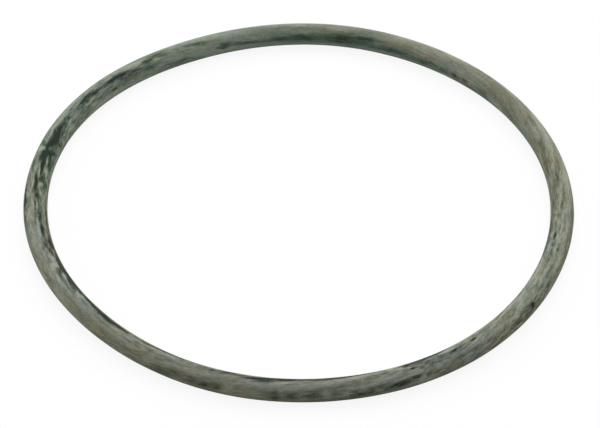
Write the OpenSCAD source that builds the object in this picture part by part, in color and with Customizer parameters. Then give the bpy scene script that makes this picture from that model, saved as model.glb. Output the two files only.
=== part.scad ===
// O-ring: a sealing ring of round section, moulded from rubber in one piece.
// The origin is the centre of the ring, +Z is its axis, and z = 0 is its mid plane, so it
// lies flat on the circle where z = -section_d / 2. The two halves of its mould meet on the
// mid plane, and the flash that was trimmed there stays as a low ridge round the hole and
// round the outside.

/* [Ring] */
// Diameter of the hole at rest, measured on the round section and not on the ridge
inside_d = 78.97; // [20:0.01:250]
// Diameter of the round section, which is the ring's height as it lies
section_d = 3.53; // [1:0.01:8]

/* [Trimmed flash] */
// Width of the ridge along the ring's axis: how far the mould's halves stood apart
flash_w = 0.12; // [0.05:0.01:0.3]
// Height of the ridge above the round section
flash_h = 0.06; // [0.02:0.01:0.2]

/* [Hidden] */
$fn = 180;

// Radius of the section, and of the circle that runs through the middle of it
section_r = section_d / 2;
middle_r = inside_d / 2 + section_r;
// The hole and the outside, both measured on the ridge
ridge_inside_r = middle_r - section_r - flash_h;
ridge_outside_r = middle_r + section_r + flash_h;
// What a cutter runs past the faces that it cuts
past = 1;

// The round section, swept once round the ring's axis
module round_body() {
    rotate_extrude() translate([middle_r, 0]) circle(r = section_r);
}

// The thin web that fills the mould's gap, trimmed close to the section inside and outside.
// Between the two trimmed edges it lies within the round body.
module trimmed_flash() {
    difference() {
        cylinder(r = ridge_outside_r, h = flash_w, center = true);
        cylinder(r = ridge_inside_r, h = flash_w + 2 * past, center = true);
    }
}

// The ring as it leaves the mould: one solid
module o_ring() {
    color("#6c7165") union() {
        round_body();
        trimmed_flash();
    }
}

o_ring();
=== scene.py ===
# %% [markdown]
# # A worn rubber sealing ring
# The object is an O-ring: one ring of round section, moulded from black nitrile rubber. It has
# lain about for a while, so a grey-green film of dust and bloom dulls it, and the film is
# rubbed off in streaks that run along the ring.
# The solid of the ring comes from its CAD model, which gives its place and its size. This
# script adds what CAD leaves out: a fine mesh with the small faults of a real moulding, the
# film on the rubber, and a plain studio round it.

import math

import bpy
import numpy as np
from mathutils import Matrix, Vector, noise


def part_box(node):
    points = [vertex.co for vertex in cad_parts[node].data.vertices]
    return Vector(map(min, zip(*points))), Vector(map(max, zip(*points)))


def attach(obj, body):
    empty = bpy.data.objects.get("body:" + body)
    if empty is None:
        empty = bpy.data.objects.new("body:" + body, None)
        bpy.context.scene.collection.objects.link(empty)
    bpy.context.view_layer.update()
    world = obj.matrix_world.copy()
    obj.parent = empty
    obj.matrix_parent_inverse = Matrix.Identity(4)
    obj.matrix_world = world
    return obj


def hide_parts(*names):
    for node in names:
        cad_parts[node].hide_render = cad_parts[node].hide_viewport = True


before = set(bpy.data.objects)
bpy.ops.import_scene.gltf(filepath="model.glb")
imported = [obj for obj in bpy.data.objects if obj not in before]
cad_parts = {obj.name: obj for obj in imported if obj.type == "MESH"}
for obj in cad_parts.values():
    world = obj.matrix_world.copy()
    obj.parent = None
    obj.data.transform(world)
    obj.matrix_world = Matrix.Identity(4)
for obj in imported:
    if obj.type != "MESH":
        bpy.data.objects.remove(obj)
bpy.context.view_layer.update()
ring_low, ring_high = (Vector(corner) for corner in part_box("o_ring"))
print("the ring is", [round(1000 * side, 2) for side in ring_high - ring_low], "mm")

# %% [markdown]
# ## The sizes of the ring
# The ring could be measured once and its sizes written down here, but then a new size in CAD
# would leave this script behind. The box of the CAD solid gives the two sizes that everything
# else follows. Its height is the diameter of the round section. Its width is the outside
# diameter over the trimmed flash, the low ridge that stays where the two halves of the mould
# met.

# %% Take the sizes from the solid
MM = 0.001
FLASH_HEIGHT = 0.06 * MM
FLASH_WIDTH = 0.12 * MM

section_radius = (ring_high.z - ring_low.z) / 2
outside_radius = (ring_high.x - ring_low.x) / 2 - FLASH_HEIGHT
middle_radius = outside_radius - section_radius
print("section", round(2 * section_radius / MM, 2), "mm, middle circle",
      round(2 * middle_radius / MM, 2), "mm")

# %% [markdown]
# ## The camera
# The photograph looks down on the ring from 42 degrees above the table, through a long lens.
# A camera can be moved by hand until the picture fits, but a ring is so plain a shape that its
# outline gives every value. The near side shows 13 percent wider than the far side, and that
# puts the camera 13 ring radii away. The lens then follows from the width of the ring in the
# picture. A small roll and a small shift bring the ring to its place in the frame.

# %% Place the camera
# The picture's size, the focal length and the ring's centre in pixels, and the sensor in mm
PICTURE_WIDTH = 600
PICTURE_HEIGHT = 428
CAMERA_ELEVATION = math.radians(42.44)
CAMERA_ROLL = math.radians(0.72)
CAMERA_DISTANCE = 13.0 * middle_radius
FOCAL_PIXELS = 3419
RING_CENTRE_X = 299.8
RING_CENTRE_Y = 201.9
SENSOR_WIDTH = 36.0

towards_camera = Vector((0, -math.cos(CAMERA_ELEVATION), math.sin(CAMERA_ELEVATION)))
level_right = Vector((1, 0, 0))
level_up = towards_camera.cross(level_right)
camera_right = math.cos(CAMERA_ROLL) * level_right + math.sin(CAMERA_ROLL) * level_up
camera_up = towards_camera.cross(camera_right)

lens = bpy.data.cameras.new("photo_camera")
lens.sensor_width = SENSOR_WIDTH
lens.lens = FOCAL_PIXELS * SENSOR_WIDTH / PICTURE_WIDTH
lens.shift_x = (PICTURE_WIDTH / 2 - RING_CENTRE_X) / PICTURE_WIDTH
lens.shift_y = (RING_CENTRE_Y - PICTURE_HEIGHT / 2) / PICTURE_WIDTH
lens.clip_start = 10 * MM
camera = bpy.data.objects.new("photo_camera", lens)
bpy.context.collection.objects.link(camera)
turn = Matrix((camera_right, camera_up, towards_camera)).transposed().to_4x4()
camera.matrix_world = Matrix.Translation(CAMERA_DISTANCE * towards_camera) @ turn
bpy.context.scene.camera = camera
print("camera", round(CAMERA_DISTANCE, 3), "m away, lens", round(lens.lens), "mm")

# %% [markdown]
# ## Colours and nodes
# Every colour below is written as the sRGB hex value that one would pick on a screen. Blender
# mixes light in linear values, so one function converts them. Materials are graphs of nodes,
# and one function adds a node, sets its own settings and fills or links its sockets.

# %% Helpers for colours and nodes
def linear(hex_colour):
    """An sRGB hex colour, such as "#7A7B6B", as linear red, green, blue and alpha."""
    parts = [int(hex_colour[i:i + 2], 16) / 255 for i in (1, 3, 5)]
    return [p / 12.92 if p <= 0.04045 else ((p + 0.055) / 1.055) ** 2.4 for p in parts] + [1.0]


def add_node(tree, kind, sockets=None, **settings):
    """Adds a node. A socket given as another node's output is linked, anything else is set."""
    node = tree.nodes.new(kind)
    for name, value in settings.items():
        setattr(node, name, value)
    for key, value in (sockets or {}).items():
        if isinstance(value, bpy.types.NodeSocket):
            tree.links.new(value, node.inputs[key])
        else:
            node.inputs[key].default_value = value
    return node


def new_material(name):
    """A material with an empty node tree, and that tree."""
    material = bpy.data.materials.new(name)
    material.use_nodes = True
    material.node_tree.nodes.clear()
    return material, material.node_tree


print("the screen's middle grey is", round(linear("#808080")[0], 3), "in linear light")

# %% [markdown]
# ## The table and its white surround
# The ring was photographed on white, with the background burnt out to pure white. More light
# would burn it out here too, but it would bleach the ring. So the board is plain matt card
# under soft light, and its material asks what kind of ray has met it. The camera, a reflection
# and a look through glass find plain white there, and only soft light finds the card. A small
# share of the card stays in view for all of them, and with it the soft shadow that tells that
# the ring lies on something.

# %% Tell a view from soft light
def plain_view(tree):
    """1 for a ray of the camera, of a reflection or through glass, and 0 for soft light."""
    rays = add_node(tree, "ShaderNodeLightPath")
    clear = add_node(tree, "ShaderNodeMath", {0: rays.outputs["Is Glossy Ray"],
                     1: rays.outputs["Is Transmission Ray"]}, operation="MAXIMUM")
    any_view = add_node(tree, "ShaderNodeMath", {0: rays.outputs["Is Camera Ray"],
                        1: clear.outputs[0]}, operation="MAXIMUM")
    return any_view.outputs[0]


# Matt card: its fibres scatter light evenly, so the eye sees no shine on it
board_finish, tree = new_material("card_matt_white")
view = plain_view(tree)
print("kinds of ray that see plain white: camera, glossy, transmission")

# %% Lay the board
BOARD_SIZE = 3.0
BOARD_SEEN = "#FFFFFF"
BOARD_BOUNCE = "#D0D0CE"
BOARD_ROUGHNESS = 0.9
SHADOW_SHARE = 0.1

seen = add_node(tree, "ShaderNodeMath", {0: view, 1: 1 - SHADOW_SHARE}, operation="MULTIPLY")
card_colour = add_node(tree, "ShaderNodeMix", {"Factor": view}, data_type="RGBA")
card_colour.inputs["A"].default_value = linear(BOARD_BOUNCE)
card_colour.inputs["B"].default_value = linear(BOARD_SEEN)
matt = add_node(tree, "ShaderNodeBsdfPrincipled", {"Base Color": card_colour.outputs["Result"],
                                                  "Roughness": BOARD_ROUGHNESS})
white = add_node(tree, "ShaderNodeEmission", {"Color": linear(BOARD_SEEN), "Strength": 1.0})
mixed = add_node(tree, "ShaderNodeMixShader", {0: seen.outputs[0], 1: matt.outputs[0],
                                               2: white.outputs[0]})
add_node(tree, "ShaderNodeOutputMaterial", {"Surface": mixed.outputs[0]})

half = BOARD_SIZE / 2
board_mesh = bpy.data.meshes.new("white_board")
board_mesh.from_pydata([(-half, -half, 0), (half, -half, 0), (half, half, 0), (-half, half, 0)],
                       [], [(0, 1, 2, 3)])
board_mesh.materials.append(board_finish)
board = bpy.data.objects.new("white_board", board_mesh)
board.location.z = ring_low.z
bpy.context.collection.objects.link(board)
print("board", BOARD_SIZE, "m wide, its top", round(ring_low.z / MM, 3), "mm from the mid plane")

# %% [markdown]
# ## The light
# The photograph has no hard shadow and no sharp glint: its light comes from a white tent, open
# towards the camera. So the top and both flanks of the ring are light, and the walls that face
# the camera, outside on the near side and inside on the far side, are dark. A real tent could
# be built round the ring, but large area lamps do the same with less noise in the picture.
# Four of them stand for its roof, sides and back, and a dim world fills the rest. The world
# has the same switch as the board, so it is white wherever it is seen.

# %% Hang the lamps
# Name, side in m, direction and elevation in degrees, distance in m and power in watts. The
# direction is 0 on the right and 90 behind the ring
LAMPS = [
    ("roof_light", 0.7, 90, 80, 0.8, 2.8),
    ("left_light", 0.6, 170, 20, 0.9, 3.0),
    ("right_light", 0.6, 15, 35, 0.9, 2.3),
    ("back_light", 0.7, 85, 40, 0.9, 4.3),
]
for name, side, direction, elevation, distance, power in LAMPS:
    lamp = bpy.data.lights.new(name, "AREA")
    lamp.size = side
    lamp.energy = power
    holder = bpy.data.objects.new(name, lamp)
    bpy.context.collection.objects.link(holder)
    turn_z, rise = math.radians(direction), math.radians(elevation)
    place = Vector((math.cos(rise) * math.cos(turn_z), math.cos(rise) * math.sin(turn_z),
                    math.sin(rise)))
    holder.location = distance * place
    holder.rotation_euler = place.to_track_quat("Z", "Y").to_euler()
    print(name, power, "W")

# %% Fill the tent
TENT_STRENGTH = 0.14

world = bpy.data.worlds.new("tent")
world.use_nodes = True
tree = world.node_tree
tree.nodes.clear()
strength = add_node(tree, "ShaderNodeMapRange", {"Value": plain_view(tree),
                    "To Min": TENT_STRENGTH, "To Max": 1.0})
sky = add_node(tree, "ShaderNodeBackground", {"Color": (1, 1, 1, 1),
                                              "Strength": strength.outputs[0]})
add_node(tree, "ShaderNodeOutputWorld", {"Surface": sky.outputs[0]})
bpy.context.scene.world = world
bpy.context.scene.view_settings.view_transform = "Standard"
print("the tent's own light", TENT_STRENGTH, "and white where it is seen")

# %% [markdown]
# ## The form of the ring
# A moulded ring is never quite a perfect torus. Lying loose, it is out of round by a few
# tenths of a millimetre. Its section keeps a little of the squeeze that it had in its groove,
# so it is a tenth of a millimetre wider than high, and twice that on the left.
# A modifier could bend Blender's own torus, but the faults are simple functions of two angles:
# one round the ring, and one round the section. So the mesh is computed from them directly.
# Each fault is a sum of waves that go round the ring a whole number of times, so it closes.

# %% Lay out the two angles
# A step is 0.3 mm along the ring and 0.12 mm round the section
STEPS_ROUND_RING = 860
STEPS_ROUND_SECTION = 96
# The ridge is crossed by finer steps. Their reach, and the distance that the even steps keep,
# are in half widths of the ridge
RIDGE_STEPS = 8
RIDGE_REACH = 1.6
RIDGE_CLEAR = 2.2

ridge_angle = math.degrees(FLASH_WIDTH / 2 / section_radius)


def section_angles():
    """Section angles in degrees: even steps, and finer ones across the two ridges."""
    fine_steps = np.linspace(-RIDGE_REACH * ridge_angle, RIDGE_REACH * ridge_angle, RIDGE_STEPS)
    angles = np.linspace(0, 360, STEPS_ROUND_SECTION, endpoint=False)
    for ridge_place in (0, 180):
        gap = np.abs((angles - ridge_place + 180) % 360 - 180)
        angles = np.concatenate([angles[gap > RIDGE_CLEAR * ridge_angle],
                                 (ridge_place + fine_steps) % 360])
    return np.radians(np.sort(angles))


around = np.radians(np.linspace(0, 360, STEPS_ROUND_RING, endpoint=False))
ring_angle, section_angle = np.meshgrid(around, section_angles(), indexing="ij")
print("steps round the ring", ring_angle.shape[0], "and round its section", ring_angle.shape[1])

# %% Out of round, and squeezed
# How many waves, how high in mm, and the ring angle of the first crest
OUT_OF_ROUND = [(3, 0.22, 47), (4, 0.09, 344), (5, 0.04, 13), (6, 0.05, 20), (7, 0.04, 42)]
SQUEEZED = [(0, 0.045, 0), (1, 0.026, 126), (2, 0.040, 159), (3, 0.018, 77)]


def waves_round(angle, waves):
    """A sum of waves round the ring: how many crests, how high, and the first one's place."""
    return sum(height * np.cos(crests * (angle - math.radians(place)))
               for crests, height, place in waves)


lobed_radius = middle_radius + MM * waves_round(ring_angle, OUT_OF_ROUND)
half_width = section_radius + MM * waves_round(ring_angle, SQUEEZED)
ring_way = np.stack([np.cos(ring_angle), np.sin(ring_angle), 0 * ring_angle], axis=-1)
section_way = (ring_way * (np.cos(section_angle) * half_width / section_radius)[..., None]
               + np.array([0, 0, 1]) * np.sin(section_angle)[..., None])
print("section", round(2 * half_width.min() / MM, 2), "to", round(2 * half_width.max() / MM, 2),
      "mm wide")

# %% [markdown]
# ## Marks on the skin
# Some marks are painted light as well: the patches rubbed bare low on the near half's outside are
# painted shade, and the thick, bluish film low inside the far half is painted bounce light.
# Streaks all over can be left to noise, but some marks are this ring's own: nicks, patches
# rubbed bare, and stretches where the film is thick. Each is written as a lozenge on the skin:
# its angle round the ring, its angle round the section, its length along the ring and its width
# across it in mm, and its strength. The section angle is 0 on the outside, 90 on top and 180 on
# the inside. The marks were placed one after another, from the photograph.
# The streaks don't run straight round the ring. A ring that is rolled over its shaft turns
# about its own core, so what was rubbed along it once now winds round the section. The marks
# wind with it.
# Painting them in a picture would need a texture file. A value at each point of the mesh does
# the same, and the material's own noise frays its edges.
# The photograph hides the underside, the outside of the far half and the inside of the near
# half. Their marks are guessed, in the same manner, so that the ring looks as worn all round.

# %% One mark on the skin
# A mark fades softly: a little under half of its strength is left at its ends
MARK_FADE = 0.8
# How far the streaks wind round the section, as waves round the ring, in radians
TWIST = [(1, 1.16, 353), (2, 0.62, 164), (3, 0.26, 89), (4, 0.42, 3)]


def lozenges(marks, lean=TWIST):
    """The strongest of the marks at each point of the skin. They wind as the waves of lean."""
    total = np.zeros_like(ring_angle)
    for ring_place, section_place, length, width, strength in marks:
        along = (np.degrees(ring_angle) - ring_place + 180) % 360 - 180
        winding = waves_round(ring_angle, lean) - waves_round(math.radians(ring_place), lean)
        over = np.degrees(section_angle - winding) - section_place
        along = np.radians(along) * middle_radius / (length / 2 * MM)
        over = np.radians((over + 180) % 360 - 180) * section_radius / (width / 2 * MM)
        total = np.maximum(total, strength * np.exp(-MARK_FADE * (along ** 2 + over ** 2)))
    return total


turning = np.degrees(waves_round(around, TWIST))
print("the streaks wind through", round(turning.max() - turning.min()), "degrees of the section")

# %% Nicks
NICKS = [
    (252, 103, 0.9, 0.5, 0.55), (293.3, 103, 1.1, 0.5, 0.55), (294.2, 78, 1.1, 0.5, 0.7),
    (295.2, 115, 1.2, 0.4, 0.8), (296, 67, 1.2, 0.4, 0.65), (297.2, 78, 1.0, 0.4, 0.55),
    (304.2, 89, 1.2, 0.4, 0.8), (309.5, 92, 1.4, 0.45, 0.75), (326.4, 36, 1.1, 0.6, 0.85),
    (343.2, 76, 1.1, 0.5, 0.6), (347.5, 109, 2.0, 0.45, 0.65), (349.9, 93, 2.0, 0.35, 0.5),
]
GUESSED_NICKS = [
    (74, 340, 1.3, 0.5, 0.8), (101, 312, 1.5, 0.4, 0.9), (158, 268, 1.2, 0.5, 0.8),
    (239, 196, 1.2, 0.4, 0.8), (268, 208, 1.4, 0.5, 0.9),
]
EVERY_NICK = NICKS + GUESSED_NICKS
nicked = lozenges(EVERY_NICK)
print("nicks", len(NICKS), "and guessed", len(GUESSED_NICKS))

# %% [markdown]
# ## Flash, waviness and pits
# The trimmed flash stays as a low ridge on the mid plane, inside and outside, and the trimming
# leaves it a little higher here and lower there. The skin has a slight waviness from the mould,
# and each nick is a shallow pit. Bump in the material could fake all three, but then they would
# be gone from the mesh and from the outline, so they are moved points.

# %% Smooth noise for arrays
def smooth_noise(places, size, seed=0.0):
    """Smooth noise from -1 to 1 at an array of points, with features of the given size."""
    flat = places.reshape(-1, 3) / size + seed
    values = [noise.noise(Vector(place)) for place in flat]
    return np.array(values).reshape(places.shape[:-1])


WAVE_HEIGHT = 0.012 * MM
WAVE_LENGTH = 5.0 * MM

plain_points = lobed_radius[..., None] * ring_way + section_radius * section_way
waves = smooth_noise(plain_points, WAVE_LENGTH)
print("the mould's waves are", round(WAVE_HEIGHT * (waves.max() - waves.min()) / MM, 3),
      "mm from crest to trough")

# %% The trimmed flash
# Where the ridge's flat top ends and how wide its slope is, as parts of its half width
RIDGE_FLAT = 0.5
RIDGE_SLOPE = 0.9
# The share of the ridge's height that the trimming leaves, and how much it varies
TRIM_MEAN = 0.65
TRIM_SPREAD = 0.35
TRIM_LENGTH = 3.0 * MM
SEED_TRIM = 11.0

from_ridge = np.abs((np.degrees(section_angle) + 90) % 180 - 90)
ridge = 1 - np.clip((from_ridge / ridge_angle - RIDGE_FLAT) / RIDGE_SLOPE, 0, 1)
mid_circle = lobed_radius[..., None] * ring_way
trim = TRIM_MEAN + TRIM_SPREAD * smooth_noise(mid_circle, TRIM_LENGTH, SEED_TRIM)
print("flash", round(FLASH_HEIGHT * trim.min() / MM, 3), "to",
      round(FLASH_HEIGHT * trim.max() / MM, 3), "mm high")

# %% Compute the ring's points
NICK_DEPTH = 0.05 * MM

skin_radius = (section_radius + FLASH_HEIGHT * ridge * trim + WAVE_HEIGHT * (waves - 1)
               - NICK_DEPTH * nicked)
points = lobed_radius[..., None] * ring_way + skin_radius[..., None] * section_way
print("ring points", points.shape[0], "x", points.shape[1], "and the deepest pit",
      round(NICK_DEPTH * nicked.max() / MM, 3), "mm")

# %% [markdown]
# ## The mesh
# The points form a grid that closes on itself both ways, so every face is a quad and nothing
# is open. Three values go with each point. They give the two angles as points on circles,
# which have no jump where 360 degrees meets 0, so that the patterns have no seam anywhere. The
# section's angle is taken as it winds, and so the material's streaks wind with the marks.

# %% Build the mesh
rows, columns = points.shape[:2]
index = np.arange(rows * columns).reshape(rows, columns)
next_row = np.roll(index, -1, axis=0)
next_column = np.roll(index, -1, axis=1)
next_both = np.roll(next_row, -1, axis=1)
quads = np.stack([index, next_row, next_both, next_column], axis=-1).reshape(-1, 4)

ring_mesh = bpy.data.meshes.new("rubber_ring")
ring_mesh.from_pydata(points.reshape(-1, 3).tolist(), [], quads.tolist())
ring_mesh.shade_smooth()
faulty = ring_mesh.validate()
ring = bpy.data.objects.new("rubber_ring", ring_mesh)
bpy.context.collection.objects.link(ring)
print("quads", len(ring_mesh.polygons), "and any of them faulty:", faulty)

# %% Store the winding angles
def store(name, kind, values):
    """Writes one value or one vector for each point of the mesh."""
    field = "vector" if kind == "FLOAT_VECTOR" else "value"
    attribute = ring_mesh.attributes.new(name, kind, "POINT")
    attribute.data.foreach_set(field, np.ascontiguousarray(values, dtype=np.float32).ravel())


winding_angle = section_angle - waves_round(ring_angle, TWIST)
level_way = np.stack([0 * ring_angle, 0 * ring_angle, np.cos(winding_angle)], axis=-1)
store("ring_way", "FLOAT_VECTOR", ring_way)
store("section_level", "FLOAT_VECTOR", level_way)
store("section_height", "FLOAT", np.sin(winding_angle))
print("points with their angles stored", len(ring_mesh.vertices))

# %% [markdown]
# ## Where the film is worn, and where shade is painted
# A cloth or a groove's edge takes the film off in long narrow patches, mostly on top, where the
# ring bears on what it slides past. In the middle of some patches none is left, and the black
# rubber shows. A nick has lost its film too, so the nicks count as both. The ring's left side,
# where it was handled most, has most of the patches. Low on the outside of the near half the
# patches are painted shade as well as wear: they darken the band that faces the tent's open
# front beyond what the lamps leave there.

# %% Patches rubbed bare, and painted shade low on the near side
RUBBED_BARE_AND_PAINTED_SHADE = [
    (1.5, 79, 4, 0.8, 0.4), (3, 132, 14, 1.6, 0.4), (6.8, 100.5, 4.4, 0.9, 0.5),
    (10, 94, 14, 1.6, 0.35), (12, 113, 12, 1.4, 0.25), (12.5, 137, 2.5, 0.6, 0.25),
    (14.3, 89, 2.6, 0.4, 0.4), (18, 122, 15, 1.9, 0.4), (27, 115, 4, 0.8, 0.35),
    (42, 168, 3, 1.5, 0.5), (47.8, 172, 1.4, 1.2, 0.6), (49, 184, 10, 0.9, 0.45),
    (51, 174, 1.6, 1.0, 0.6), (54.5, 182, 3.5, 1.0, 0.6), (58, 172, 2.2, 0.6, 0.4),
    (58.5, 175, 5, 1.2, 0.5), (60, 184, 6, 1.0, 0.75), (64, 186, 8, 1.0, 0.6),
    (68, 174, 10, 1.4, 0.45), (76, 140, 6, 0.9, 0.55), (80, 155, 10, 1.7, 0.58),
    (87, 108, 6, 1.0, 0.35), (88, 158, 10, 1.4, 0.55), (96, 160, 9, 1.2, 0.5),
    (103, 163, 8, 0.9, 0.4), (108.7, 152, 2.6, 0.6, 0.6), (109.3, 171, 1.8, 0.8, 1.0),
    (109.5, 164, 4, 0.9, 0.7), (114, 167, 5, 0.7, 0.45), (116, 107, 5.5, 0.8, 0.6),
    (120, 166, 8, 1.2, 0.4), (120, 168, 7, 1.0, 0.5), (120.3, 107, 1.4, 0.6, 0.4),
    (125.5, 106, 2.5, 0.6, 0.6), (126, 90, 2.8, 1.0, 0.65), (128.3, 105, 3, 0.8, 0.9),
    (129, 144, 4, 0.9, 0.7), (133, 121, 4.5, 0.7, 0.6), (134, 140, 6, 1.3, 0.6),
    (137.5, 107, 6, 0.9, 1.05), (138.5, 149, 3.5, 0.5, 0.4), (140, 76, 8, 1.0, 0.35),
    (140, 150, 8, 1.2, 0.4), (141.5, 135, 4, 0.8, 0.45), (144.5, 107, 3, 0.8, 0.8),
    (147, 96, 4.8, 0.7, 0.7), (148.5, 99, 2.4, 0.4, 0.9), (149, 140, 5, 0.3, 0.4),
    (150, 122, 9, 1.6, 0.35), (155, 103, 1.5, 0.5, 0.45), (159, 96, 4.4, 1.1, 0.9),
    (159, 126, 6, 1.0, 0.4), (159, 143, 4, 0.7, 0.4), (162, 104, 8, 1.7, 0.95),
    (162.8, 85, 2.4, 0.6, 0.8), (163, 147, 2, 0.7, 0.6), (165.5, 127, 4, 1.0, 0.8),
    (166, 101, 7, 1.8, 0.95), (167, 121, 7, 0.9, 0.85), (168.3, 88, 3.2, 1.2, 1.1),
    (169.5, 105, 4, 0.8, 1.1), (170.5, 60, 3, 0.8, 0.6), (171, 137, 7, 1.0, 0.7),
    (172.3, 102, 4, 0.7, 1.2), (175, 123, 2, 0.6, 0.6), (176.6, 112, 4, 0.8, 0.75),
    (177.4, 138, 3, 0.9, 0.8), (178, 89, 5.2, 0.8, 1.0), (181, 84, 2.2, 0.6, 0.6),
    (181.5, 102, 3, 0.9, 0.9), (182, 32, 8, 1.2, 0.6), (185, 90, 4, 0.4, 0.75),
    (185.5, 28, 8, 1.8, 0.5), (187, 107, 6.5, 1.1, 0.65), (188.5, 148, 7, 0.6, 0.8),
    (192.3, 106, 4.2, 0.7, 0.9), (196.3, 111, 2.5, 0.8, 0.8), (197, 135, 5, 1.0, 1.0),
    (198, 98, 2, 1.1, 0.75), (199, 92, 8, 0.8, 0.4), (200, 112, 4, 0.9, 0.8),
    (203, 34, 6, 1.0, 0.35), (205, 130, 12, 1.0, 1.3), (207.2, 89, 3.3, 0.7, 0.75),
    (208.5, 30, 6, 1.0, 0.3), (212.8, 113, 2.6, 0.6, 0.9), (213, 125, 8, 0.7, 1.1),
    (218.3, 120, 5, 0.6, 1.2), (223.7, 112, 4.5, 0.8, 1.1), (227.5, 113, 4.5, 0.6, 1.1),
    # Those below 40 degrees round the section, from 235 to 340 round the ring, are painted shade as
    # well as rubbed film
    (230.7, 111, 1.8, 0.6, 0.7), (234.5, 80, 5, 1.0, 0.35), (237, 13, 5, 1.0, 0.3),
    (239, 117, 10, 0.6, 0.9), (242, 12, 6, 1.2, 0.5), (248.3, 13, 2.6, 0.9, 0.6),
    (251.2, 14, 2.6, 0.9, 0.65), (253.8, 15, 2.2, 0.8, 0.55), (255.3, 109, 2.4, 0.6, 0.8),
    (256.5, 117, 3, 0.5, 0.9), (257, 114, 7, 0.6, 0.45), (258, 106, 6, 0.7, 0.7),
    (262, 101, 5, 0.6, 1.2), (263.5, 89, 4, 0.7, 0.7), (265.5, 10, 1.5, 2.0, 0.5),
    (267.6, 110, 5, 0.9, 1.1), (269, 20, 1.8, 1.6, 0.5), (272, 113, 4, 0.8, 0.8),
    (273, 25, 2.4, 1.3, 0.45), (276, 121, 4, 0.5, 1.0), (277.6, 36, 1.2, 1.3, 0.4),
    (280, 123, 4, 0.5, 0.9), (281, 31, 7, 1.0, 0.4), (281, 120, 10, 0.7, 1.1),
    (282, 2, 3.5, 1.5, 0.5), (282, 80, 14, 1.4, 0.4), (285, 20, 1.8, 1.3, 0.6),
    (286.5, 28, 3, 0.9, 0.5), (290, 10, 6, 1.0, 0.5), (290, 25, 5, 0.7, 0.6),
    (294, 117, 4, 0.6, 0.9), (294.5, 32, 3, 0.8, 0.5), (297, 28, 1.8, 0.8, 0.5),
    (297, 94, 12, 1.4, 0.3), (298, 22, 2.5, 0.8, 0.6), (298.7, 31, 2.6, 0.7, 0.5),
    (299, 119, 6, 0.7, 1.0), (299.5, 14, 4, 1.2, 0.35), (300, 24, 3.4, 1.1, 0.55),
    (300, 86, 11, 1.5, 0.42), (301, 80, 4, 0.4, 0.6), (302.6, 89, 2, 0.3, 0.4),
    (303, 26, 5, 1.2, 0.4), (318, 22, 12, 1.4, 0.35), (321, 37, 9, 0.6, 0.45),
    (323, 132, 10, 0.8, 0.5), (331, 20, 10, 1.0, 0.35), (331, 35, 9, 0.7, 0.45),
    (338, 34, 8, 1.0, 0.35), (340, 32, 8, 0.8, 0.4), (341, 87, 7, 1.0, 0.55),
    (345, 103, 2.4, 0.9, 0.5), (346, 146, 10, 0.9, 0.6), (353, 138, 6, 1.0, 0.45),
    (358, 95, 3, 0.5, 0.4),
]
GUESSED_BARE = [
    (5, 280, 14, 1.4, 0.6), (30, 262, 10, 1.2, 0.7), (52, 338, 12, 1.2, 0.6),
    (66, 308, 9, 1.0, 0.8), (81, 352, 14, 0.8, 0.6), (96, 330, 10, 1.4, 0.9),
    (109, 298, 7, 0.9, 0.8), (118, 355, 11, 0.9, 0.6), (131, 320, 9, 1.2, 0.9),
    (150, 265, 12, 1.4, 0.8), (175, 292, 9, 1.5, 0.9), (195, 250, 14, 1.2, 0.7),
    (226, 192, 9, 1.1, 0.8), (243, 218, 12, 1.3, 0.7), (258, 184, 8, 0.9, 0.8),
    (274, 232, 10, 1.4, 0.7), (290, 190, 13, 1.1, 0.7), (307, 212, 8, 1.2, 0.8),
    (325, 204, 10, 1.0, 0.7), (345, 268, 12, 1.2, 0.6),
]
# The rubbed value carries that painted shade into the material
store("rubbed", "FLOAT", lozenges(RUBBED_BARE_AND_PAINTED_SHADE + GUESSED_BARE + EVERY_NICK))
print("patches rubbed bare", len(RUBBED_BARE_AND_PAINTED_SHADE), "and guessed", len(GUESSED_BARE))

# %% Where no film is left
BARE_MIDDLES = [
    (137, 105, 4, 0.4, 0.4), (148.5, 99, 2, 0.35, 0.4), (164.5, 100, 7, 1.2, 0.55),
    (168, 91, 2.6, 0.7, 0.45), (172, 102, 3, 0.4, 0.6), (178, 89, 3.5, 0.4, 0.4),
    (193, 106, 1.6, 0.3, 0.3), (218, 121, 3.5, 0.4, 0.45), (223.5, 111, 3, 0.45, 0.45),
    (227, 109, 3, 0.35, 0.4), (251, 13, 3, 0.4, 0.25), (255.5, 115, 2, 0.35, 0.5),
    (262, 102, 4, 0.5, 0.9),
]
store("stripped", "FLOAT", lozenges(BARE_MIDDLES + EVERY_NICK))
print("bare middles", len(BARE_MIDDLES))
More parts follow.
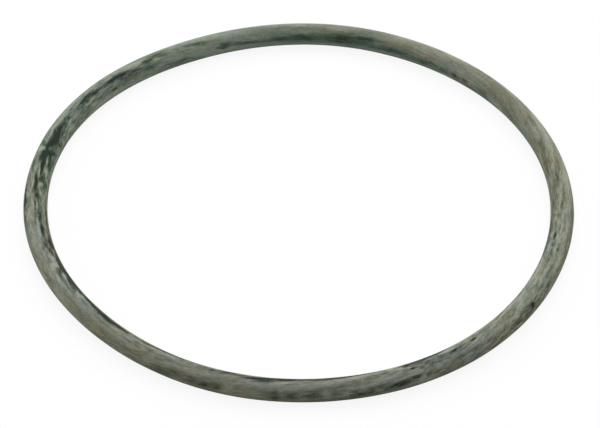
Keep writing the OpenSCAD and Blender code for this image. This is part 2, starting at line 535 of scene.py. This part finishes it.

# %% [markdown]
# ## Where the film is thick, mottled or tinted, and where bounce light is painted
# Dust gathers along the edges of the rubbed patches and low on the walls. Where the ring was
# handled, the film lies in mottles, and elsewhere it is even. It is bluish where it is thin and
# fresh, brownish where it holds oil, and a neutral grey where wax has bloomed. These last are
# broad stretches that don't wind, because they came after the ring was twisted. Along the
# bottom edge inside the far half, the thicker film and the bluish tint are also painted light:
# a lighter, teal band that stands for the light bounced up from the white board.

# %% Thick film, and painted bounce light low inside the far half
# The stretches at 186 to 207 degrees round the section, low inside the far half, are painted bounce
# light as well as film
THICK_FILM_AND_PAINTED_BOUNCE = [
    (2, 96, 4.5, 0.45, 0.5), (8, 46, 12, 1.1, 0.9), (10, 108, 3.6, 0.45, 0.6),
    (13, 164, 6, 0.8, 0.6), (14.5, 63, 4, 1.0, 0.4), (22, 110, 3.6, 0.8, 0.3),
    (24, 60, 14, 1.1, 0.7), (36, 189, 4, 0.8, 0.8), (38, 61, 8, 0.9, 0.6), (48, 144, 10, 1.4, 0.3),
    (60, 66, 20, 0.9, 0.35), (76, 203, 26, 0.8, 1.0), (86, 207, 6, 0.9, 0.7),
    (87, 204, 12, 0.8, 1.0), (95, 69, 12, 0.9, 0.6), (96, 195, 8, 0.8, 0.9), (97, 196, 6, 0.8, 0.7),
    (98, 196, 10, 0.8, 0.6), (100, 148, 8, 0.8, 0.4), (103, 193, 26, 1.0, 1.1),
    (110, 200, 8, 0.8, 0.8), (114, 146, 5, 0.7, 0.5), (116, 70, 16, 1.4, 0.7),
    (126.5, 114, 1.4, 0.4, 0.8), (131.6, 86, 3, 0.8, 0.9), (132, 74, 10, 1.2, 0.4),
    (132, 190, 10, 0.8, 0.7), (139.6, 89, 2, 0.5, 0.8), (145, 186, 18, 1.0, 1.0),
    (146.5, 127, 2.8, 0.4, 0.6), (147, 62, 10, 1.2, 0.5), (147, 156, 1.1, 0.9, 0.6),
    (152.5, 154, 1.2, 0.9, 0.6), (153, 117, 2.2, 1.1, 0.5), (156.5, 155, 0.9, 0.8, 0.5),
    (158, 60, 7, 1.2, 0.5), (162, 84, 3, 0.5, 0.5), (164, 75, 1.5, 0.5, 0.7),
    (165.9, 106, 1.0, 0.5, 1.2), (166, 68, 0.9, 1.3, 1.0), (170.3, 118, 2, 0.4, 1.0),
    (172.7, 126, 1.5, 1.0, 0.8), (173.8, 94, 2.4, 0.3, 1.0), (177, 67, 3, 0.6, 0.8),
    (177.7, 113, 1.0, 0.5, 1.1), (180.8, 118, 1.6, 0.5, 0.7), (184.5, 82, 2.8, 0.35, 0.8),
    (185, 98, 2.8, 0.3, 0.9), (191, 52, 8, 1.2, 0.9), (192.3, 91, 3.4, 0.35, 1.0),
    (196, 84, 3, 0.6, 0.4), (200, 15, 12, 0.8, 0.4), (202.5, 104, 3, 0.6, 0.5),
    (204.9, 106, 0.8, 0.4, 0.9), (207.9, 111, 1.1, 0.4, 0.9), (208.6, 70, 1.8, 0.4, 0.9),
    (214, 14, 6, 1.0, 0.7), (214.8, 107, 1.6, 0.5, 0.7), (217, 108, 5, 0.5, 0.6),
    (228, 88, 2.6, 0.5, 0.5), (249, 57, 4, 0.6, 0.6), (256, 23, 1.6, 1.0, 0.6),
    (267, 85, 1.8, 0.5, 0.7), (270, 57, 6, 1.0, 0.6), (275.8, 22, 1.2, 1.1, 1.0),
    (279.7, 20, 1.2, 0.8, 0.7), (282, 98, 8, 0.9, 0.3), (285, 47, 12, 1.0, 0.5),
    (291, 39, 3, 0.4, 0.8), (295.8, 16, 0.7, 0.7, 1.1), (300, 4, 8, 0.8, 0.4),
    (300.5, 96, 1.6, 0.5, 0.5), (301, 54, 4, 0.6, 0.5), (303, 106, 2.6, 0.5, 0.8),
    (306.2, 21, 1.5, 1.0, 0.8), (308, 121, 4, 0.7, 0.8), (312, 122, 3, 0.6, 0.6),
    (320, 118, 8, 0.7, 0.6), (334, 6, 10, 0.9, 0.3), (336.5, 124, 4.5, 0.7, 0.6),
    (339, 78, 3.2, 0.35, 0.6), (340.5, 103, 2.6, 0.6, 0.4), (343, 55, 7, 1.0, 0.7),
    (343, 92, 2.2, 0.4, 0.6), (345.5, 66, 2, 0.5, 0.7), (351.5, 86, 3, 0.35, 0.5),
]
GUESSED_THICK = [
    (18, 272, 10, 1.0, 0.8), (60, 330, 10, 0.9, 0.8), (90, 345, 8, 0.7, 0.8),
    (124, 335, 10, 0.9, 0.8), (165, 285, 8, 0.9, 0.8), (210, 235, 10, 1.0, 0.8),
    (250, 200, 9, 0.9, 0.8), (300, 200, 11, 0.9, 0.8), (335, 245, 10, 1.0, 0.8),
]
# The thick value carries that painted bounce light into the material
store("thick", "FLOAT", lozenges(THICK_FILM_AND_PAINTED_BOUNCE + GUESSED_THICK))
print("stretches of thick film", len(THICK_FILM_AND_PAINTED_BOUNCE), "and guessed", len(GUESSED_THICK))

# %% Where the film lies in mottles
MOTTLED = [
    (8, 90, 18, 14, 0.25), (48, 110, 40, 14, 0.12), (138, 100, 30, 14, 0.25),
    (168, 100, 44, 14, 0.65), (208, 118, 30, 3.0, 0.6), (245, 90, 44, 14, 0.3),
    (290, 14, 30, 2.0, 0.4), (316, 90, 50, 14, 0.55), (346, 80, 24, 14, 0.55),
]
GUESSED_MOTTLED = [
    (30, 270, 40, 3.0, 0.5), (88, 322, 64, 3.0, 0.6), (175, 270, 50, 3.0, 0.7),
    (272, 208, 70, 3.0, 0.6),
]
store("mottled", "FLOAT", lozenges(MOTTLED + GUESSED_MOTTLED, lean=[]))
print("mottled stretches", len(MOTTLED), "and guessed", len(GUESSED_MOTTLED))

# %% Bluish, brownish and bloomed stretches, and a painted teal bounce low inside the far half
BLUISH_AND_PAINTED_BOUNCE = [
    # The stretches at 188 to 203 degrees round the section, low inside the far half, are painted
    # teal bounce light as well as tint
    (12.5, 140, 2.5, 0.8, 0.5), (23, 158, 4, 0.9, 0.6), (66, 200, 30, 1.4, 0.6),
    (76, 188, 55, 3.2, 1.0), (88, 150, 24, 1.8, 0.5), (100, 203, 40, 1.8, 0.7),
    (118, 110, 76, 14, 0.5), (120, 86, 14, 2.6, 0.7), (126, 92, 4, 1.2, 0.8),
    (137, 104, 8, 1.0, 0.6), (150, 62, 28, 1.8, 0.7), (308, 18, 1.5, 0.8, 0.8),
]
BROWNISH = [
    (2, 134, 12, 1.8, 1.0), (19, 116, 22, 2.8, 0.6), (38, 114, 14, 2.2, 0.5),
    (57, 146, 18, 1.4, 0.9), (65, 98, 34, 2.4, 0.45), (96, 92, 12, 1.2, 0.4),
    (149, 138, 8, 0.8, 0.7), (178, 90, 4, 0.6, 0.6), (199, 46, 14, 1.2, 0.4),
    (208, 138, 30, 1.2, 1.0), (226, 112, 12, 1.0, 0.8), (236, 45, 28, 2.4, 0.75),
    (240, 66, 24, 2.0, 0.5), (241, 84, 12, 1.6, 0.4), (251, 14, 14, 1.6, 0.8),
    (260, 50, 12, 2.4, 0.35), (268, 113, 18, 1.4, 1.4), (284, 96, 20, 3.0, 0.4),
    (325, 30, 34, 1.6, 0.35), (345, 14, 20, 1.6, 0.5), (352, 66, 16, 1.6, 0.5),
]
GUESSED_BROWNISH = [
    (62, 330, 22, 1.8, 0.5), (104, 322, 26, 2.2, 0.6), (150, 270, 16, 2.0, 0.5),
    (252, 205, 26, 2.2, 0.5), (320, 222, 20, 2.0, 0.4),
]
BLOOMED = [
    (22, 104, 5, 1.0, 0.4), (50, 135, 9, 1.0, 0.4), (64, 84, 4, 0.8, 0.4), (134, 124, 6, 0.9, 0.6),
    (152.5, 116, 3, 1.4, 0.4), (196, 96, 14, 1.6, 0.4), (208.6, 70, 3, 0.7, 0.6),
    (215, 84, 12, 1.3, 0.6), (262, 78, 8, 1.6, 0.6), (275, 90, 60, 3.6, 0.3),
    (289, 62, 10, 1.6, 0.5), (305, 62, 12, 1.6, 0.5), (331, 64, 14, 1.2, 0.3),
    (345, 104, 3, 1.0, 0.6), (353, 62, 8, 0.9, 0.4),
]
# The bluish value carries that painted bounce light into the material
store("bluish", "FLOAT", lozenges(BLUISH_AND_PAINTED_BOUNCE, lean=[]))
store("brownish", "FLOAT", lozenges(BROWNISH + GUESSED_BROWNISH, lean=[]))
store("bloomed", "FLOAT", lozenges(BLOOMED, lean=[]))
print("bluish stretches", len(BLUISH_AND_PAINTED_BOUNCE), "brownish", len(BROWNISH + GUESSED_BROWNISH),
      "bloomed", len(BLOOMED))

# %% [markdown]
# ## Nitrile rubber under dust and bloom
# Nitrile rubber is black because of its carbon filler, and a moulded skin is smooth and half
# dull. With age its waxes bloom to the surface and hold dust. The eye sees a soft grey-green
# film, thicker in some stretches, with darker streaks along the ring where it was handled, and
# hardly any shine.
# Noise in plain coordinates would cut across the ring like the grain of a plank. Here it is
# taken on a ring in four dimensions, so it follows the skin and closes without a seam. Dividing
# the ring's way by a number stretches the pattern along it into streaks.

# %% Noise on the skin of a ring
rubber, tree = new_material("nitrile_rubber_moulded_dusty")


def skin_noise(size, stretch, detail, roughness=0.5):
    """Noise with features of a size in mm, stretched along the ring, and without a seam."""
    way = add_node(tree, "ShaderNodeAttribute", attribute_name="ring_way")
    level = add_node(tree, "ShaderNodeAttribute", attribute_name="section_level")
    height = add_node(tree, "ShaderNodeAttribute", attribute_name="section_height")
    level_mm = add_node(tree, "ShaderNodeVectorMath",
                        {0: level.outputs["Vector"], "Scale": section_radius / MM},
                        operation="SCALE")
    ring_mm = [middle_radius / MM / stretch] * 3
    place = add_node(tree, "ShaderNodeVectorMath",
                     {0: way.outputs["Vector"], 1: ring_mm, 2: level_mm.outputs[0]},
                     operation="MULTIPLY_ADD")
    fourth = add_node(tree, "ShaderNodeMath",
                      {0: height.outputs["Fac"], 1: section_radius / MM}, operation="MULTIPLY")
    pattern = add_node(tree, "ShaderNodeTexNoise",
                       {"Vector": place.outputs[0], "W": fourth.outputs[0], "Scale": 1 / size,
                        "Detail": detail, "Roughness": roughness}, noise_dimensions="4D")
    return pattern.outputs["Fac"]


# Hands and cloths leave more or less dust every few mm
CLOUD_SIZE, CLOUD_STRETCH = 5.0, 2.5
cloud = skin_noise(CLOUD_SIZE, CLOUD_STRETCH, 3.0)
# The dust changes its tint in smaller patches
TINT_SIZE, TINT_STRETCH = 1.4, 3.0
tint_cloud = skin_noise(TINT_SIZE, TINT_STRETCH, 3.0)
# Rub marks are under a mm wide, and long
STREAK_SIZE, STREAK_STRETCH = 0.7, 6.0
streak = skin_noise(STREAK_SIZE, STREAK_STRETCH, 4.0, 0.6)
# Scratches in the film are 0.1 mm wide or less: drawn coarser here, so that they show
FINE_SIZE, FINE_STRETCH = 0.28, 4.0
fine = skin_noise(FINE_SIZE, FINE_STRETCH, 3.0)
# Grains of dust are 0.02 to 0.05 mm: drawn as wide as a pixel of the picture, 0.15 mm
GRAIN_SIZE, GRAIN_STRETCH = 0.15, 1.0
grain = skin_noise(GRAIN_SIZE, GRAIN_STRETCH, 2.0)
print("nodes for the noise", len(tree.nodes))

# %% Read the marks, and give the noise its edges
MARKS = ("rubbed", "stripped", "thick", "mottled", "bluish", "brownish", "bloomed")
marked = {name: add_node(tree, "ShaderNodeAttribute", attribute_name=name).outputs["Fac"]
          for name in MARKS}

# A film breaks up in flakes with edges, so the middle of each noise is stretched to -1 and 1
CRISP_FROM, CRISP_TO = 0.38, 0.62
crisp = []
for output in (streak, fine, grain):
    steps = add_node(tree, "ShaderNodeMapRange", {"Value": output, "From Min": CRISP_FROM,
                     "From Max": CRISP_TO, "To Min": -1.0, "To Max": 1.0},
                     interpolation_type="SMOOTHSTEP")
    crisp.append(steps.outputs[0])
crisp_streak, crisp_fine, crisp_grain = crisp
print("kinds of mark", len(marked), "and crisp noises", len(crisp))

# %% [markdown]
# ## How much film there is
# One number says how much film lies on each point of the skin, and the colour, the roughness
# and the gloss all follow from it, as they do on the real ring. It is a mean, plus clouds and
# streaks, plus what the marks add or take away. The streaks also fray the marks' edges, and
# they are strong only where the film is mottled.

# %% Sum up the film
def weighted(start, terms):
    """start plus the sum of each output times its weight, as a chain of multiply-adds."""
    total = start
    for output, weight in terms:
        step = add_node(tree, "ShaderNodeMath", {0: output, 1: weight, 2: total},
                        operation="MULTIPLY_ADD")
        total = step.outputs[0]
    return total


STREAK_SHARE, FINE_SHARE, GRAIN_SHARE = 0.14, 0.12, 0.05
EVEN_CONTRAST = 0.22
mottle = weighted(0.0, [(crisp_streak, STREAK_SHARE), (crisp_fine, FINE_SHARE)])
contrast = weighted(EVEN_CONTRAST, [(marked["mottled"], 1 - EVEN_CONTRAST)])
fray = add_node(tree, "ShaderNodeMath", {0: mottle, 1: contrast}, operation="MULTIPLY").outputs[0]
print("contrast of the streaks from", EVEN_CONTRAST, "on even film to 1 in the mottles")

# %% Bare patches, and what is left of the film
# Thick film covers the edge of a bare patch, and flakes fray the edge of a stripped one
THICK_COVERS = 0.5
FRAY_STRIPPED = 0.15
STRIPPED_FROM, STRIPPED_TO = 0.25, 0.6
# Low on the near half's outside, the bare patches here are painted shade as well as wear
frayed = weighted(0.0, [(marked["rubbed"], 1.0), (marked["thick"], -THICK_COVERS), (fray, -1.0)])
bare = add_node(tree, "ShaderNodeMapRange", {"Value": frayed, "From Min": 0.0,
                "From Max": 1.0}, interpolation_type="SMOOTHSTEP").outputs[0]
edge = weighted(0.0, [(crisp_fine, FRAY_STRIPPED), (marked["stripped"], 1.0)])
stripped = add_node(tree, "ShaderNodeMapRange", {"Value": edge, "From Min": STRIPPED_FROM,
                    "From Max": STRIPPED_TO}, interpolation_type="SMOOTHSTEP").outputs[0]

MEAN_FILM = 0.72
CLOUD_SHARE = 0.35
THICK_GIVES, BARE_TAKES, STRIPPED_TAKES = 0.22, 0.54, 0.2
# Low inside the far half, the lighter film that the thick mark gives is painted bounce light
film = weighted(MEAN_FILM - CLOUD_SHARE / 2,
                [(fray, 1.0), (cloud, CLOUD_SHARE), (crisp_grain, GRAIN_SHARE),
                 (marked["thick"], THICK_GIVES), (bare, -BARE_TAKES),
                 (stripped, -STRIPPED_TAKES)])
print("mean film", MEAN_FILM, "and nodes so far", len(tree.nodes))

# %% [markdown]
# ## What colour the film has
# Each kind of dust has a row of colours, from the bare black rubber to thick dust. A single
# row would leave the ring one colour all over, but its film changes between a brownish olive
# and a bluish teal, and it is grey where wax has bloomed. Three rows are mixed by the tint.

# %% Mix the film's colours
OLIVE_DUST = [(0.0, "#14170F"), (0.25, "#2D3027"), (0.45, "#595B4A"), (0.68, "#7D7A68"),
              (0.9, "#9D9E88")]
TEAL_DUST = [(0.0, "#0C1C13"), (0.25, "#203128"), (0.45, "#44574A"), (0.68, "#67786B"),
             (0.9, "#929C91")]
WAX_BLOOM = [(0.0, "#161A18"), (0.25, "#292E2C"), (0.45, "#4E5452"), (0.68, "#747A78"),
             (0.9, "#979D9B")]
film_colours = []
for stops in (OLIVE_DUST, TEAL_DUST, WAX_BLOOM):
    ramp = add_node(tree, "ShaderNodeValToRGB", {"Fac": film})
    while len(ramp.color_ramp.elements) < len(stops):
        ramp.color_ramp.elements.new(0.5)
    for element, (place, hex_colour) in zip(ramp.color_ramp.elements, stops):
        element.position = place
        element.color = linear(hex_colour)
    film_colours.append(ramp.outputs["Color"])
olive, teal, bloom = film_colours

# A tint of 0 is olive and 1 is teal
MEAN_TINT = 0.46
TINT_SHARE = 2.1
MARK_TINT = 0.6
# Low inside the far half, the bluish mark's teal is painted bounce light
tint = weighted(MEAN_TINT - TINT_SHARE / 2, [(tint_cloud, TINT_SHARE),
                (marked["bluish"], MARK_TINT), (marked["brownish"], -MARK_TINT)])
limited = add_node(tree, "ShaderNodeMath", {0: tint, 1: 0.0}, operation="ADD", use_clamp=True)
dust = add_node(tree, "ShaderNodeMix", {"Factor": limited.outputs[0]}, data_type="RGBA")
tree.links.new(olive, dust.inputs["A"])
tree.links.new(teal, dust.inputs["B"])
colour = add_node(tree, "ShaderNodeMix", {"Factor": marked["bloomed"]}, data_type="RGBA")
tree.links.new(dust.outputs["Result"], colour.inputs["A"])
tree.links.new(bloom, colour.inputs["B"])
print("rows of colours", len(film_colours), "of", len(OLIVE_DUST), "each")

# %% [markdown]
# ## Gloss and relief
# Rubber has an index of refraction of about 1.52, so a clean skin would reflect about 4 percent
# of the light. Dust scatters it instead: the roughness goes from a half dull skin to a dull
# film, and the specular level is far below its usual half. The film itself is a few hundredths
# of a mm thick, which only a bump can carry at this size of mesh.

# %% The rubber's gloss and relief
RUBBER_IOR = 1.52
RUBBER_SPECULAR = 0.07
BARE_ROUGHNESS, DUST_ROUGHNESS = 0.55, 0.9
BARE_FILM, FULL_FILM = 0.1, 0.6
STREAK_RELIEF, FINE_RELIEF, GRAIN_RELIEF = 0.5, 0.5, 0.35
BUMP_HEIGHT = 0.06 * MM
BUMP_STRENGTH = 0.5

roughness = add_node(tree, "ShaderNodeMapRange", {"Value": film, "From Min": BARE_FILM,
                     "From Max": FULL_FILM, "To Min": BARE_ROUGHNESS,
                     "To Max": DUST_ROUGHNESS})
relief = weighted(0.0, [(streak, STREAK_RELIEF), (fine, FINE_RELIEF), (grain, GRAIN_RELIEF)])
bump = add_node(tree, "ShaderNodeBump", {"Height": relief, "Strength": BUMP_STRENGTH,
                "Distance": BUMP_HEIGHT})
skin = add_node(tree, "ShaderNodeBsdfPrincipled", {"Base Color": colour.outputs["Result"],
                "Roughness": roughness.outputs[0], "IOR": RUBBER_IOR,
                "Specular IOR Level": RUBBER_SPECULAR, "Normal": bump.outputs[0]})
add_node(tree, "ShaderNodeOutputMaterial", {"Surface": skin.outputs[0]})
ring_mesh.materials.append(rubber)
print("nodes in the rubber", len(tree.nodes))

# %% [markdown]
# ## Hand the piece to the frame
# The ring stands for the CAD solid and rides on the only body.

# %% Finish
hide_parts("o_ring")
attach(ring, "root")
